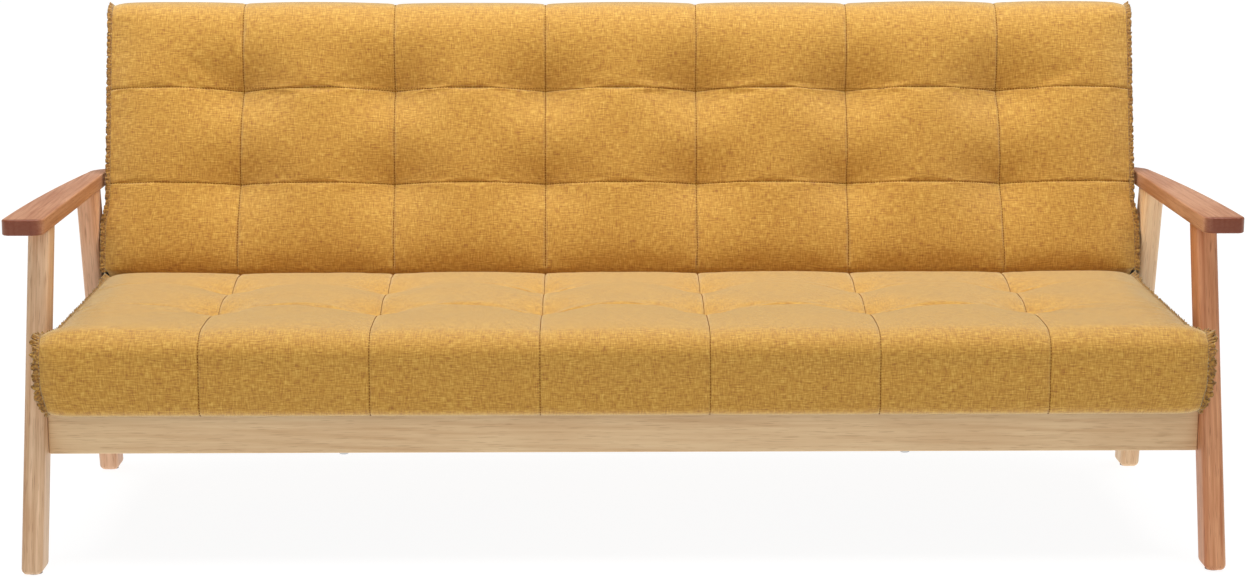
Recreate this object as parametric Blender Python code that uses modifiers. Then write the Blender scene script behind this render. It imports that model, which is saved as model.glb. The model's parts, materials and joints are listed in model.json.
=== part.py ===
"""A three-seat sofa bed: two raked wooden side frames joined by rails, a fixed seat on the rails,
and a backrest on a ratchet hinge at each end, which folds down level with the seat."""

import math

import bmesh
import bpy
from mathutils import Vector
from mathutils.geometry import convex_hull_2d

# Driving dimensions in metres. X runs along the sofa, the front faces -Y and Z is up.
# Y is counted from the front of the front feet, and the whole sofa is centred at the end.
FIT = 0.0003  # gap left between pieces that touch
PAD_HEIGHT = 0.0025
PAD_RADIUS = 0.011

LEG_THICK = 0.032
LEG_CLEARANCE = 0.0016  # between a leg and the head of the hinge pin
LEG_ROUND = 0.008
FRONT_LEG_DEPTH = 0.052
FRONT_LEG_RISE_Y = 0.147  # how far the top of the front leg stands behind its foot
REAR_LEG_DEPTH = 0.058
REAR_LEG_FOOT_Y = 0.606
REAR_LEG_RISE_Y = -0.112
ARM_UNDERSIDE_Z = 0.498

ARM_THICK = 0.0235
ARM_CLEARANCE = 0.006  # between an armrest and the end of the backrest
ARM_OVERHANG = 0.022  # how far an armrest reaches out past its legs
ARM_FRONT_Y = 0.069
ARM_REAR_Y = 0.620
ARM_TAPER = 0.029
ARM_CORNER = 0.012
ARM_REAR_ROUND = 0.040
ARM_EASE = 0.003
TENON = Vector((0.014, 0.030, 0.012))
TENON_ROOT = 0.004  # how far a tenon's block reaches down into its leg

RAIL_LOW_Z = 0.167
RAIL_HIGH_Z = 0.230
RAIL_THICK = 0.022
RAIL_EASE = 0.003
FRONT_RAIL_SETBACK = 0.022  # behind the front of the leg, at the rail's middle height

CUSHION_HALF = 0.845  # half the length of seat and backrest
COVER_THICK = 0.002
END_FOAM = 0.010
PIVOT_Y = 0.5306
PIVOT_Z = 0.331
SURFACE_ABOVE_PIVOT = 0.032
SEAT_FRONT_Y = 0.030
SEAT_FRONT_DROP = 0.007  # the seat's top falls this much from the crease to the front
SEAT_TOP_ROUND = 0.030
SEAT_LOW_ROUND = 0.010
SEAT_CLEAR = 0.0005  # seat above the rails
BACK_LEAN_DEG = 15.0
BACK_LENGTH = 0.480  # from the pivot to the top, along the backrest
BACK_THICK = 0.120
BACK_TOP_ROUND = 0.030
BACK_REAR_ROUND = 0.022
END_GAP = 0.003  # between each cushion's lower end and the pivot line
MITRE_GAP = 0.001
FORWARD_TRAVEL_DEG = 8.0

INNER_RAIL_THICK = 0.022
SEAT_INNER_RAIL_HEIGHT = 0.058
BACK_INNER_RAIL_HEIGHT = 0.046
NEAR_FOAM = 0.018  # foam between the hinge end of a cushion and its inner frame
BACK_FAR_FOAM = 0.028
SLAT_THICK = 0.010
SLAT_WIDTH = 0.060
SLAT_COUNT = 4
CLOSING_THICK = 0.0012

PLATE_THICK = 0.003
PLATE_GAP = 0.0005
HUB_RADIUS = 0.024
PLATE_END_RADIUS = 0.018
SEAT_SCREW_U = (0.046, 0.156)
BACK_SCREW_U = (0.055, 0.150)
PIN_RADIUS = 0.0050
PIN_CLEARANCE = 0.0003
PIN_HEAD_RADIUS = 0.009
PIN_INNER_HEAD = 0.001
PIN_OUTER_HEAD = 0.003

FRAME_BOLT_RADIUS = 0.0038
FRAME_BOLT_IN_RAIL = 0.055
FRAME_BOLT_HEAD = (0.0075, 0.004)  # radius, height
SEAT_BOLT_RADIUS = 0.0030
SEAT_BOLT_IN_FRAME = 0.038
SEAT_BOLT_HEAD = (0.0075, 0.003)
SEAT_BOLT_X = 0.42
SCREW_RADIUS = 0.0024
SCREW_LENGTH = 0.032
SCREW_HEAD = (0.0048, 0.002)
HOLE_CLEARANCE = 0.0003

ROUND_SIDES = 16
PIN_SIDES = 32

# Worked out from the values above
PIN_INNER_HEAD_X = CUSHION_HALF + FIT
SEAT_PLATE_X = PIN_INNER_HEAD_X + PIN_INNER_HEAD + FIT
BACK_PLATE_X = SEAT_PLATE_X + PLATE_THICK + PLATE_GAP
PIN_OUTER_HEAD_X = BACK_PLATE_X + PLATE_THICK + FIT
LEG_INNER_X = PIN_OUTER_HEAD_X + PIN_OUTER_HEAD + LEG_CLEARANCE
LEG_OUTER_X = LEG_INNER_X + LEG_THICK
ARM_INNER_X = CUSHION_HALF + ARM_CLEARANCE
ARM_OUTER_X = LEG_OUTER_X + ARM_OVERHANG
LEG_LOW_Z = PAD_HEIGHT + FIT
RAIL_MIDDLE_Z = (RAIL_LOW_Z + RAIL_HIGH_Z) / 2
FRONT_SLOPE = FRONT_LEG_RISE_Y / ARM_UNDERSIDE_Z
REAR_SLOPE = REAR_LEG_RISE_Y / ARM_UNDERSIDE_Z
FRONT_RAIL_Y = FRONT_SLOPE * RAIL_MIDDLE_Z + FRONT_RAIL_SETBACK
REAR_RAIL_Y = REAR_LEG_FOOT_Y + REAR_SLOPE * RAIL_MIDDLE_Z + (REAR_LEG_DEPTH - RAIL_THICK) / 2
SEAT_BELOW = PIVOT_Z - RAIL_HIGH_Z - SEAT_CLEAR
BACK_BELOW = BACK_THICK - SURFACE_ABOVE_PIVOT
SEAT_REACH = PIVOT_Y - SEAT_FRONT_Y
NEAR_RAIL_U = END_GAP + COVER_THICK + NEAR_FOAM
SEAT_FAR_RAIL_U = PIVOT_Y - FRONT_RAIL_Y - RAIL_THICK
BACK_FAR_RAIL_U = BACK_LENGTH - COVER_THICK - BACK_FAR_FOAM - INNER_RAIL_THICK
CROSS_RAIL_Y = PIVOT_Y - NEAR_RAIL_U - RAIL_THICK
SIDE_RAIL_X = LEG_INNER_X - FIT - RAIL_THICK
FRAME_OUTER_X = CUSHION_HALF - COVER_THICK - END_FOAM
SLAT_PITCH = 2 * FRAME_OUTER_X / SLAT_COUNT
LEAN = math.radians(BACK_LEAN_DEG)
REAR_MOST_Y = (
    PIVOT_Y
    + (BACK_LENGTH - BACK_REAR_ROUND) * math.sin(LEAN)
    + (BACK_BELOW - BACK_REAR_ROUND) * math.cos(LEAN)
    + BACK_REAR_ROUND
)
FRONT_MOST_Y = FRONT_SLOPE * (LEG_LOW_Z + LEG_ROUND)
SIDES = (("left", -1), ("right", 1))

for old in list(bpy.data.objects):
    bpy.data.objects.remove(old, do_unlink=True)
parts = bpy.data.collections.new("sofa_bed")
cutters = bpy.data.collections.new("cutters")
bpy.context.scene.collection.children.link(parts)
bpy.context.scene.collection.children.link(cutters)
cutters.hide_render = True


def make_look(name, colour, roughness, metallic=0.0):
    look = bpy.data.materials.new(name)
    look.use_nodes = True
    shader = look.node_tree.nodes["Principled BSDF"]
    shader.inputs["Base Color"].default_value = (*colour, 1.0)
    shader.inputs["Roughness"].default_value = roughness
    shader.inputs["Metallic"].default_value = metallic
    look.diffuse_color = (*colour, 1.0)
    return look


LEG_WOOD = make_look("pale_rubberwood", (0.61, 0.40, 0.25), 0.45)
RAIL_WOOD = make_look("pale_rail_wood", (0.58, 0.43, 0.24), 0.5)
ARM_WOOD = make_look("brown_arm_wood", (0.50, 0.24, 0.14), 0.4)
INNER_WOOD = make_look("inner_frame_wood", (0.60, 0.45, 0.28), 0.7)
FABRIC = make_look("mustard_fabric", (0.60, 0.33, 0.07), 0.95)
FOAM = make_look("foam", (0.80, 0.76, 0.60), 1.0)
DUST_CLOTH = make_look("dust_cloth", (0.05, 0.05, 0.05), 0.9)
STEEL = make_look("dark_steel", (0.10, 0.10, 0.11), 0.4, 0.9)
ZINC = make_look("zinc_plated_steel", (0.55, 0.55, 0.56), 0.35, 0.9)
NYLON = make_look("nylon", (0.12, 0.10, 0.09), 0.6)


def make_empty(name, parent=None, place=(0, 0, 0), tilt=0.0):
    empty = bpy.data.objects.new(name, None)
    parts.objects.link(empty)
    empty.parent = parent
    empty.location = place
    empty.rotation_euler = (tilt, 0, 0)
    return empty


SOFA = make_empty("sofa", place=(0, -(FRONT_MOST_Y + REAR_MOST_Y) / 2, 0))
SEAT = make_empty("seat_pivot", SOFA, (0, PIVOT_Y, PIVOT_Z))
BACK = make_empty("backrest_pivot", SOFA, (0, PIVOT_Y, PIVOT_Z), -LEAN)


def add_part(name, mesh, look, parent):
    """Puts a mesh in the scene as a part, or as a cutter when it has no look."""
    part = bpy.data.objects.new(name, mesh)
    (parts if look else cutters).objects.link(part)
    part.parent = parent
    if look:
        mesh.materials.append(look)
    else:
        part.hide_render = True
        part.display_type = "WIRE"
    return part


def ease_edges(part, width, segments):
    bevel = part.modifiers.new("eased_edges", "BEVEL")
    bevel.width = width
    bevel.segments = segments
    bevel.limit_method = "ANGLE"
    bevel.angle_limit = math.radians(40)


def combine(part, other, operation):
    boolean = part.modifiers.new(operation.lower(), "BOOLEAN")
    boolean.operation = operation
    boolean.solver = "EXACT"
    boolean.object = other


def cut(targets, cutter):
    for target in targets:
        combine(target, cutter, "DIFFERENCE")


def block(name, low, high, look=None, parent=SOFA, slope=0.0):
    """A box between two corners. slope moves each point along y by that share of its height."""
    low, high = Vector(low), Vector(high)
    shape = bmesh.new()
    bmesh.ops.create_cube(shape, size=1.0)
    bmesh.ops.scale(shape, vec=high - low, verts=shape.verts)
    for corner in shape.verts:
        corner.co.y += slope * corner.co.z
    mesh = bpy.data.meshes.new(name)
    shape.to_mesh(mesh)
    shape.free()
    part = add_part(name, mesh, look, parent)
    part.location = (low + high) / 2
    return part


def slab(name, outline, start, end, look, parent, flat=False):
    """A closed outline given thickness from start to end. The outline's points are (y, z) and its
    thickness is along x, or (x, y) and along z when it lies flat."""
    curve = bpy.data.curves.new(name, "CURVE")
    curve.dimensions = "2D"
    curve.fill_mode = "BOTH"
    curve.extrude = abs(end - start) / 2
    spline = curve.splines.new("POLY")
    spline.points.add(len(outline) - 1)
    for point, (first, second) in zip(spline.points, outline):
        point.co = (first, second, 0, 1)
    spline.use_cyclic_u = True
    drawn = bpy.data.objects.new(name, curve)
    parts.objects.link(drawn)
    depsgraph = bpy.context.evaluated_depsgraph_get()
    mesh = bpy.data.meshes.new_from_object(drawn.evaluated_get(depsgraph))
    bpy.data.objects.remove(drawn)
    shape = bmesh.new()
    shape.from_mesh(mesh)
    bmesh.ops.remove_doubles(shape, verts=shape.verts, dist=0.00001)
    bmesh.ops.recalc_face_normals(shape, faces=shape.faces)
    shape.to_mesh(mesh)
    shape.free()
    mesh.materials.clear()
    part = add_part(name, mesh, look, parent)
    middle = (start + end) / 2
    if flat:
        part.location = (0, 0, middle)
    else:
        part.location = (middle, 0, 0)
        part.rotation_euler = (math.pi / 2, 0, math.pi / 2)
    return part


def turned(name, profile, place, towards, look=None, parent=SOFA, sides=ROUND_SIDES):
    """A round piece: the profile's points (radius, height) run from its top to its bottom, and its
    top faces the direction towards."""
    mesh = bpy.data.meshes.new(name)
    edges = [(i, i + 1) for i in range(len(profile) - 1)]
    mesh.from_pydata([(radius, 0, height) for radius, height in profile], edges, [])
    part = add_part(name, mesh, look, parent)
    part.location = place
    part.rotation_euler = Vector(towards).to_track_quat("Z", "Y").to_euler()
    screw = part.modifiers.new("turned", "SCREW")
    screw.axis = "Z"
    screw.steps = sides
    screw.render_steps = sides
    screw.use_merge_vertices = True
    screw.merge_threshold = 0.00005
    screw.use_smooth_shade = False
    return part


def rod_profile(radius, top, bottom):
    return [(0, top), (radius, top), (radius, bottom), (0, bottom)]


def bolt_profile(shank_radius, length, head):
    head_radius, head_height = head
    return [
        (0, head_height),
        (head_radius * 0.8, head_height),
        (head_radius, head_height * 0.6),
        (head_radius, 0),
        (shank_radius, 0),
        (shank_radius, -length),
        (0, -length),
    ]


def fasten(name, radius, length, head, place, towards, through, look, parent=SOFA):
    """A bolt or screw whose head sits at place, and its hole through each of the pieces."""
    seat = Vector(place) + FIT * Vector(towards)
    bolt = turned(name, bolt_profile(radius, length, head), seat, towards, look, parent)
    profile = rod_profile(radius + HOLE_CLEARANCE, head[1], -length - HOLE_CLEARANCE)
    cut(through, turned(name + "_hole", profile, place, towards, parent=parent))
    return bolt


def arc(centre, radius, start_deg, end_deg, steps):
    points = []
    for step in range(steps + 1):
        angle = math.radians(start_deg + (end_deg - start_deg) * step / steps)
        points.append((centre[0] + radius * math.cos(angle), centre[1] + radius * math.sin(angle)))
    return points


# Legs, their pads and tenons
legs = {}
LEG_SHAPES = (
    ("front", 0.0, FRONT_LEG_DEPTH, FRONT_SLOPE),
    ("rear", REAR_LEG_FOOT_Y, REAR_LEG_DEPTH, REAR_SLOPE),
)
for side, sign in SIDES:
    leg_x = sorted((sign * LEG_INNER_X, sign * LEG_OUTER_X))
    for end, foot_y, depth, slope in LEG_SHAPES:
        # The leg is made too tall, with every edge rounded, and sawn off level below the arm
        over = LEG_ROUND * 2
        tall = ARM_UNDERSIDE_Z + over
        foot = foot_y + slope * (LEG_LOW_Z + tall) / 2
        low = (leg_x[0], foot, LEG_LOW_Z)
        leg = block(f"{end}_leg_{side}", low, (leg_x[1], foot + depth, tall), LEG_WOOD, slope=slope)
        ease_edges(leg, LEG_ROUND, 3)
        top_z = ARM_UNDERSIDE_Z - FIT
        top_y = foot_y + slope * ARM_UNDERSIDE_Z + depth / 2
        saw_low = (leg_x[0] - over, top_y - depth, top_z)
        saw_high = (leg_x[1] + over, top_y + depth, tall + over)
        cut([leg], block(f"{end}_leg_saw_{side}", saw_low, saw_high))
        tenon_middle = Vector((sign * (LEG_INNER_X + LEG_OUTER_X) / 2, top_y, 0))
        tenon_low = tenon_middle - TENON / 2
        tenon_low.z = top_z - TENON_ROOT
        tenon_high = tenon_middle + TENON / 2
        tenon_high.z = top_z + TENON.z
        combine(leg, block(f"{end}_tenon_{side}", tenon_low, tenon_high), "UNION")
        legs[end, side] = leg
        pad_middle = (tenon_middle.x, foot_y + slope * LEG_LOW_Z + depth / 2, 0)
        turned(
            f"foot_pad_{end}_{side}",
            rod_profile(PAD_RADIUS, PAD_HEIGHT, 0),
            pad_middle,
            (0, 0, 1),
            NYLON,
        )


# Armrests: boards that taper towards the back, with a blind mortise over each tenon
def arm_outline(sign):
    taper_length = ARM_REAR_Y - ARM_REAR_ROUND - ARM_FRONT_Y
    front_centre = (ARM_OUTER_X - ARM_CORNER, ARM_FRONT_Y + ARM_CORNER)
    inner_centre = (ARM_INNER_X + ARM_CORNER, ARM_FRONT_Y + ARM_CORNER)
    points = arc(inner_centre, ARM_CORNER, 180, 270, 4) + arc(front_centre, ARM_CORNER, 270, 360, 4)
    for step in range(1, 8):
        share = step / 8
        points.append((ARM_OUTER_X - ARM_TAPER * share**2, ARM_FRONT_Y + taper_length * share))
    rear_centre = (ARM_OUTER_X - ARM_TAPER - ARM_REAR_ROUND, ARM_REAR_Y - ARM_REAR_ROUND)
    inner_turn = math.degrees(math.acos((ARM_INNER_X - rear_centre[0]) / ARM_REAR_ROUND))
    points += arc(rear_centre, ARM_REAR_ROUND, 0, inner_turn, 7)
    return [(sign * x, y) for x, y in points]


for side, sign in SIDES:
    arm_high = ARM_UNDERSIDE_Z + ARM_THICK
    arm = slab(
        f"armrest_{side}", arm_outline(sign), ARM_UNDERSIDE_Z, arm_high, ARM_WOOD, SOFA, flat=True
    )
    ease_edges(arm, ARM_EASE, 2)
    for end, foot_y, depth, slope in LEG_SHAPES:
        middle = Vector((sign * (LEG_INNER_X + LEG_OUTER_X) / 2, 0, 0))
        middle.y = foot_y + slope * ARM_UNDERSIDE_Z + depth / 2
        spare = Vector((FIT, FIT, 0))
        low = middle - TENON / 2 - spare
        low.z = ARM_UNDERSIDE_Z - TENON_ROOT
        high = middle + TENON / 2 + spare
        high.z = ARM_UNDERSIDE_Z + TENON.z + FIT
        cut([arm], block(f"{end}_mortise_{side}", low, high))


# Rails: the base that the seat lies on
def rail(name, low_x, high_x, low_y, high_y):
    part = block(
        name, (low_x, low_y, RAIL_LOW_Z), (high_x, high_y, RAIL_HIGH_Z), RAIL_WOOD
    )
    ease_edges(part, RAIL_EASE, 2)
    return part


rail_half = LEG_INNER_X - FIT
front_rail = rail("front_rail", -rail_half, rail_half, FRONT_RAIL_Y, FRONT_RAIL_Y + RAIL_THICK)
rear_rail = rail("rear_rail", -rail_half, rail_half, REAR_RAIL_Y, REAR_RAIL_Y + RAIL_THICK)
LEG_RAILS = (("front", front_rail, FRONT_RAIL_Y), ("rear", rear_rail, REAR_RAIL_Y))
behind_front = FRONT_RAIL_Y + RAIL_THICK + FIT
cross_half = SIDE_RAIL_X - FIT
cross_rail = rail("cross_rail", -cross_half, cross_half, CROSS_RAIL_Y, CROSS_RAIL_Y + RAIL_THICK)
rail("centre_beam", -RAIL_THICK / 2, RAIL_THICK / 2, behind_front, CROSS_RAIL_Y - FIT)
for side, sign in SIDES:
    side_x = sorted((sign * SIDE_RAIL_X, sign * (SIDE_RAIL_X + RAIL_THICK)))
    rail(f"side_rail_{side}", *side_x, behind_front, REAR_RAIL_Y - FIT)
    for end, leg_rail, rail_y in LEG_RAILS:
        fasten(
            f"frame_bolt_{end}_{side}",
            FRAME_BOLT_RADIUS,
            LEG_THICK + FRAME_BOLT_IN_RAIL,
            FRAME_BOLT_HEAD,
            (sign * LEG_OUTER_X, rail_y + RAIL_THICK / 2, RAIL_MIDDLE_Z),
            (sign, 0, 0),
            [legs[end, side], leg_rail],
            ZINC,
        )


# Seat and backrest are built alike. Both are laid out as (u, v): u runs from the pivot to the far
# edge, and v is the height above the pivot when the sofa is flat. The seat's u runs forward; the
# backrest's u runs up it and its v runs forward, in its own leaning frame.
def seat_point(u, v):
    return (-u, v)


def back_point(u, v):
    return (-v, u)


def cushion_outline(point, cushion, inset=0.0, deeper=0.0):
    """The end view of a cushion, drawn inset on all sides, and deeper below."""
    reach, below, drop, far_round, low_round = cushion
    half_turn = math.radians((90 - BACK_LEAN_DEG + FORWARD_TRAVEL_DEG) / 2)
    crease_u = SURFACE_ABOVE_PIVOT * math.tan(half_turn) + MITRE_GAP
    far, low = reach - inset, -below + inset - deeper
    top = SURFACE_ABOVE_PIVOT - inset
    far_top = top - drop
    round_far = far_round - inset
    round_low = 0.0 if deeper else low_round - inset
    outline = [point(END_GAP + inset, low)]
    if round_low:
        corner = (far - round_low, low + round_low)
        outline += [point(u, v) for u, v in arc(corner, round_low, -90, 0, 3)]
    else:
        outline.append(point(far, low))
    corner = (far - round_far, far_top - round_far)
    outline += [point(u, v) for u, v in arc(corner, round_far, 0, 90, 6)]
    outline.append(point(crease_u + inset * 1.4, top))
    outline.append(point(END_GAP + inset, 0.0))
    return outline


def cushion_block(name, cushion_axes, low, high, look=None):
    """A box inside a cushion, from (x, u, v) to (x, u, v)."""
    point, parent = cushion_axes
    first, second = point(*low[1:]), point(*high[1:])
    y = sorted((first[0], second[0]))
    z = sorted((first[1], second[1]))
    return block(name, (low[0], y[0], z[0]), (high[0], y[1], z[1]), look, parent)


CUSHIONS = {
    "seat": {
        "axes": (seat_point, SEAT),
        "shape": (SEAT_REACH, SEAT_BELOW, SEAT_FRONT_DROP, SEAT_TOP_ROUND, SEAT_LOW_ROUND),
        "far_rail": SEAT_FAR_RAIL_U,
        "rail_height": SEAT_INNER_RAIL_HEIGHT,
        "rails": ("seat_frame_rear", "seat_frame_front"),
        "closing": "seat_dust_cloth",
        "closing_look": DUST_CLOTH,
        "plate_x": SEAT_PLATE_X,
        "screws_u": SEAT_SCREW_U,
    },
    "back": {
        "axes": (back_point, BACK),
        "shape": (BACK_LENGTH, BACK_BELOW, 0.0, BACK_TOP_ROUND, BACK_REAR_ROUND),
        "far_rail": BACK_FAR_RAIL_U,
        "rail_height": BACK_INNER_RAIL_HEIGHT,
        "rails": ("back_frame_bottom", "back_frame_top"),
        "closing": "back_rear_panel",
        "closing_look": FABRIC,
        "plate_x": BACK_PLATE_X,
        "screws_u": BACK_SCREW_U,
    },
}


def build_cushion(name, cushion):
    """Cover, foam, inner frame, slats and the cloth that closes one cushion from below."""
    axes, shape = cushion["axes"], cushion["shape"]
    point, parent = axes
    reach, below = shape[:2]
    half = CUSHION_HALF - COVER_THICK
    cover = slab(
        f"{name}_cover", cushion_outline(point, shape), -CUSHION_HALF, CUSHION_HALF, FABRIC, parent
    )
    hollow = cushion_outline(point, shape, COVER_THICK, deeper=COVER_THICK * 3)
    combine(cover, slab(f"{name}_hollow", hollow, -half, half, None, parent), "DIFFERENCE")

    cloth_v = -below + 2 * FIT
    frame_v = cloth_v + CLOSING_THICK + FIT
    frame_top_v = frame_v + cushion["rail_height"]
    slat_v = frame_top_v + FIT
    near_u, far_u = NEAR_RAIL_U, cushion["far_rail"] + INNER_RAIL_THICK
    inner_x = FRAME_OUTER_X - INNER_RAIL_THICK - FIT

    foam_outline = cushion_outline(point, shape, COVER_THICK + FIT)
    foam = slab(f"{name}_foam", foam_outline, FIT - half, half - FIT, FOAM, parent)
    pocket_low = (-FRAME_OUTER_X - FIT, near_u - FIT, -below - COVER_THICK)
    pocket_high = (FRAME_OUTER_X + FIT, far_u + FIT, slat_v + SLAT_THICK + FIT)
    cut([foam], cushion_block(f"{name}_pocket", axes, pocket_low, pocket_high))

    rails = {}
    for rail_name, u in zip(cushion["rails"], (near_u, cushion["far_rail"])):
        low = (-inner_x, u, frame_v)
        high = (inner_x, u + INNER_RAIL_THICK, frame_top_v)
        rails[rail_name] = cushion_block(rail_name, axes, low, high, INNER_WOOD)
    for side, sign in SIDES:
        x = sorted((sign * FRAME_OUTER_X, sign * (FRAME_OUTER_X - INNER_RAIL_THICK)))
        rail_name = f"{name}_frame_{side}"
        low, high = (x[0], near_u, frame_v), (x[1], far_u, frame_top_v)
        rails[rail_name] = cushion_block(rail_name, axes, low, high, INNER_WOOD)
    for number in range(1, SLAT_COUNT + 1):
        x = SLAT_PITCH * (number - (SLAT_COUNT + 1) / 2)
        low = (x - SLAT_WIDTH / 2, near_u, slat_v)
        high = (x + SLAT_WIDTH / 2, far_u, slat_v + SLAT_THICK)
        cushion_block(f"{name}_slat_{number}", axes, low, high, INNER_WOOD)
    cloth = cushion_block(
        cushion["closing"],
        axes,
        (-FRAME_OUTER_X, near_u, cloth_v),
        (FRAME_OUTER_X, far_u, cloth_v + CLOSING_THICK),
        cushion["closing_look"],
    )
    return cover, foam, rails, cloth, frame_v + cushion["rail_height"] / 2


def plate_outline(point, screws):
    """The hub and the two screw bosses, wrapped by one straight-sided outline."""
    rounds = arc((0, 0), HUB_RADIUS, 0, 345, 23)
    for screw in screws:
        rounds += arc(screw, PLATE_END_RADIUS, 0, 345, 23)
    return [point(*rounds[i]) for i in convex_hull_2d(rounds)]


for name, cushion in CUSHIONS.items():
    point, parent = cushion["axes"]
    cover, foam, rails, cloth, screw_v = build_cushion(name, cushion)
    cushion["rail_parts"], cushion["cloth"] = rails, cloth
    screws = [(u, screw_v) for u in cushion["screws_u"]]
    for side, sign in SIDES:
        outer_x = cushion["plate_x"] + PLATE_THICK
        plate_x = sorted((sign * cushion["plate_x"], sign * outer_x))
        outline = plate_outline(point, screws)
        plate = slab(f"{name}_hinge_plate_{side}", outline, *plate_x, STEEL, parent)
        bore = rod_profile(PIN_RADIUS + PIN_CLEARANCE, PLATE_THICK, -PLATE_THICK)
        bore_x = (sign * (cushion["plate_x"] + PLATE_THICK / 2), 0, 0)
        hole_name = f"{name}_hinge_bore_{side}"
        cut([plate], turned(hole_name, bore, bore_x, (1, 0, 0), None, parent, PIN_SIDES))
        targets = [plate, cover, foam, rails[f"{name}_frame_{side}"]]
        for number, screw in enumerate(screws, 1):
            place = (sign * outer_x, *point(*screw))
            screw_name = f"{name}_hinge_screw_{side}_{number}"
            fasten(
                screw_name,
                SCREW_RADIUS,
                SCREW_LENGTH,
                SCREW_HEAD,
                place,
                (sign, 0, 0),
                targets,
                ZINC,
                parent,
            )

# Hinge pins, riveted in the seat plates: a thin head inside, a thick one outside
for side, sign in SIDES:
    outer = PIN_OUTER_HEAD_X - PIN_INNER_HEAD_X
    profile = [
        (0, outer + PIN_OUTER_HEAD),
        (PIN_HEAD_RADIUS, outer + PIN_OUTER_HEAD),
        (PIN_HEAD_RADIUS, outer),
        (PIN_RADIUS, outer),
        (PIN_RADIUS, PIN_INNER_HEAD),
        (PIN_HEAD_RADIUS, PIN_INNER_HEAD),
        (PIN_HEAD_RADIUS, 0),
        (0, 0),
    ]
    place = (sign * PIN_INNER_HEAD_X, 0, 0)
    turned(f"hinge_pin_{side}", profile, place, (sign, 0, 0), STEEL, SEAT, PIN_SIDES)

# Bolts up through the rails into the seat's own frame
seat_rails = CUSHIONS["seat"]["rail_parts"]
seat_cloth = CUSHIONS["seat"]["cloth"]
BOLTED = (
    ("front", front_rail, FRONT_RAIL_Y, seat_rails["seat_frame_front"]),
    ("rear", cross_rail, CROSS_RAIL_Y, seat_rails["seat_frame_rear"]),
)
for end, base_rail, rail_y, inner_rail in BOLTED:
    for side, sign in SIDES:
        fasten(
            f"seat_bolt_{end}_{side}",
            SEAT_BOLT_RADIUS,
            RAIL_HIGH_Z - RAIL_LOW_Z + SEAT_BOLT_IN_FRAME,
            SEAT_BOLT_HEAD,
            (sign * SEAT_BOLT_X, rail_y + RAIL_THICK / 2, RAIL_LOW_Z),
            (0, 0, -1),
            [base_rail, seat_cloth, inner_rail],
            ZINC,
        )
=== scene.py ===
"""A three-seat sofa bed: mustard cushions on two raked rubberwood side frames, in a white studio."""
import json
import math
from collections.abc import Callable
from dataclasses import dataclass

import bmesh
import bpy
import numpy as np
from mathutils import Matrix, Vector


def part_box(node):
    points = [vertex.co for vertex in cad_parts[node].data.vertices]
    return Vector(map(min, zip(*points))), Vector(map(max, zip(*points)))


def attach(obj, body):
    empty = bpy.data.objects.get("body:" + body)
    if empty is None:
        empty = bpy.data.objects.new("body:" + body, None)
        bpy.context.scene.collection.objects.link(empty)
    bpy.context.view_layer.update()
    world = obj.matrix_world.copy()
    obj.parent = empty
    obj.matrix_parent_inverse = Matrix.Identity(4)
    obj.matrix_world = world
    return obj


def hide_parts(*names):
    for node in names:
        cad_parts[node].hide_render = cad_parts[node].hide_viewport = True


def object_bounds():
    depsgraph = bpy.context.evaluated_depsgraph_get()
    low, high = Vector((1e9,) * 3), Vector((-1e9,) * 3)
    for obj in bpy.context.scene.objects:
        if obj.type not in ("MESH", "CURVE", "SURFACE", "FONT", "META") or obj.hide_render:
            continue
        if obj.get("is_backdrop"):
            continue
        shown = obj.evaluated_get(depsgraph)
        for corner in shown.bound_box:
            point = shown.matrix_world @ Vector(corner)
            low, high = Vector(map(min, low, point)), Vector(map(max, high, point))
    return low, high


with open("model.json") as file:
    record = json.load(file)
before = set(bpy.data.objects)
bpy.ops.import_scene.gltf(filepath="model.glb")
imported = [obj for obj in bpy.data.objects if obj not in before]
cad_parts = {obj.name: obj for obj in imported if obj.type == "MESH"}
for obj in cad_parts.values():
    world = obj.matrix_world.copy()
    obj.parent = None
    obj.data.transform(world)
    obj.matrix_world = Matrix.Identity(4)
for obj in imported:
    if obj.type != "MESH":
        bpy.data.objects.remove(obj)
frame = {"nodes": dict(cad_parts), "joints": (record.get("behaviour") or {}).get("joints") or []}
nodes = frame["nodes"]
cad_low, cad_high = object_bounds()

# ---------------------------------------------------------------- studio
# A white acrylic floor and a low wall far round it, both lit from behind, with a big soft box
# overhead and a weaker one in front. A long lens looks down a little from straight ahead.
CAMERA_PLACE = (-0.049, cad_low.y - 3.547, 1.100)
CAMERA_DOWN_DEG, CAMERA_TURN_DEG, LENS_MM = 10.72, 0.72, 72.3
SOFT_BOXES = {
    "overhead": {"place": (0.0, -0.28, 3.0), "target": (0.0, 0.1, 0.3), "size": (4.2, 1.8), "watts": 134},
    "front": {"place": (-0.9, -4.4, 2.0), "target": (0.0, 0.0, 0.4), "size": (3.0, 2.0), "watts": 18},
}
WORLD_LIGHT = 0.16
FLOOR_RADIUS, WALL_HEIGHT = 30, 3.5
FLOOR_NEAR, FLOOR_FAR = 1.4, 4.0
GLOW_NEAR, GLOW_FAR = (0.92, 0.92, 0.92), (0.98, 0.98, 0.98)
scene = bpy.context.scene
scene.view_settings.view_transform = "Standard"


def colour(red, green, blue):
    """An 8-bit screen colour as linear light."""
    return tuple(((c / 255 + 0.055) / 1.055) ** 2.4 if c > 10 else c / 3294 for c in (red, green, blue))


def add_soft_box(name, place, target, size, watts):
    light = bpy.data.lights.new(name, "AREA")
    light.shape = "RECTANGLE"
    light.size, light.size_y = size
    light.energy = watts
    box = bpy.data.objects.new(name, light)
    scene.collection.objects.link(box)
    box.location = place
    box.rotation_euler = (Vector(target) - Vector(place)).to_track_quat("-Z", "Y").to_euler()


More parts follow.
